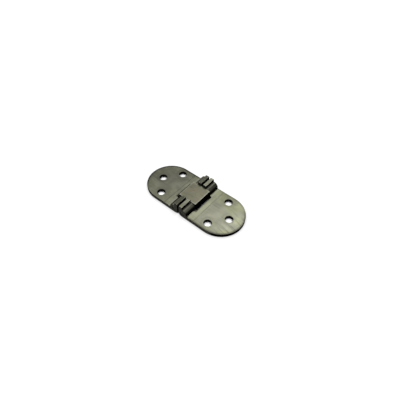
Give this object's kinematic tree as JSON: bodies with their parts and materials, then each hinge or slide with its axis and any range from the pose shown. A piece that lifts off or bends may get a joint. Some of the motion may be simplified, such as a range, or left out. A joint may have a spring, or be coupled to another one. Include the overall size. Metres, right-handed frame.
{
  "type": "drop leaf table hinge",
  "caption": "Flush fold-over table hinge: round-ended leaves with screw holes, joined by a link block on pins, so the smooth faces can fold flat together.",
  "frame": {"origin": "middle of the hinge on the plane of the smooth faces, laid open", "axes": "+X from the fixed leaf to the flap leaf, +Y along the pins, +Z out of the lug side"},
  "size_m": [0.06, 0.026, 0.0069],
  "materials": {
    "leaf_steel": "satin, brushed lengthwise",
    "link_steel": "satin, ground",
    "pin_steel": "drawn rod, cut ends"
  },
  "bodies": {
    "fixed_leaf": {"fixed_leaf": "leaf_steel", "fixed_leaf_pin": "pin_steel"},
    "link": {"link_block": "link_steel"},
    "flap": {"flap_leaf": "leaf_steel", "flap_leaf_pin": "pin_steel"}
  },
  "joints": [
    {"name": "link_pivot", "type": "hinge", "parent": "fixed_leaf", "child": "link", "pos_m": [-0.0028, 0, 0.0027], "axis": [0, 1, 0], "range_deg": [-5, 90]},
    {"name": "flap_pivot", "type": "hinge", "parent": "link", "child": "flap", "pos_m": [0.0028, 0, 0.0027], "axis": [0, 1, 0], "range_deg": [-5, 90]}
  ]
}
